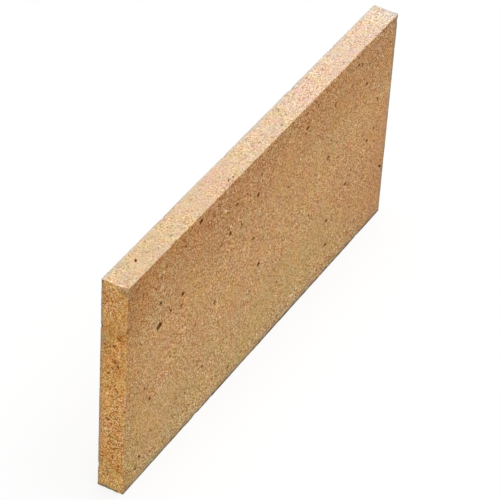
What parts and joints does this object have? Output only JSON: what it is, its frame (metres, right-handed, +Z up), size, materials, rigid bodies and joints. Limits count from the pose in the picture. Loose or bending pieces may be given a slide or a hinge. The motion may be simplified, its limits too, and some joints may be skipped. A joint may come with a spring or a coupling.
{
  "type": "refractory firebrick",
  "caption": "Thin flat slab of fired fireclay with worn arrises and a chipped corner, standing on its long narrow edge, for lining stoves, hearths and kilns.",
  "frame": {"origin": "centre of the bottom edge face that the brick stands on", "axes": "+X along the length, +Y through the thickness, +Z up the height; the big face that the picture shows looks along -Y and the end that it shows looks along -X"},
  "size_m": [0.4572, 0.0254, 0.2286],
  "materials": {
    "fired_fireclay": "rough unglazed fired clay with grog grains and small pits"
  },
  "bodies": {
    "root": {"firebrick": "fired_fireclay"}
  },
  "joints": []
}
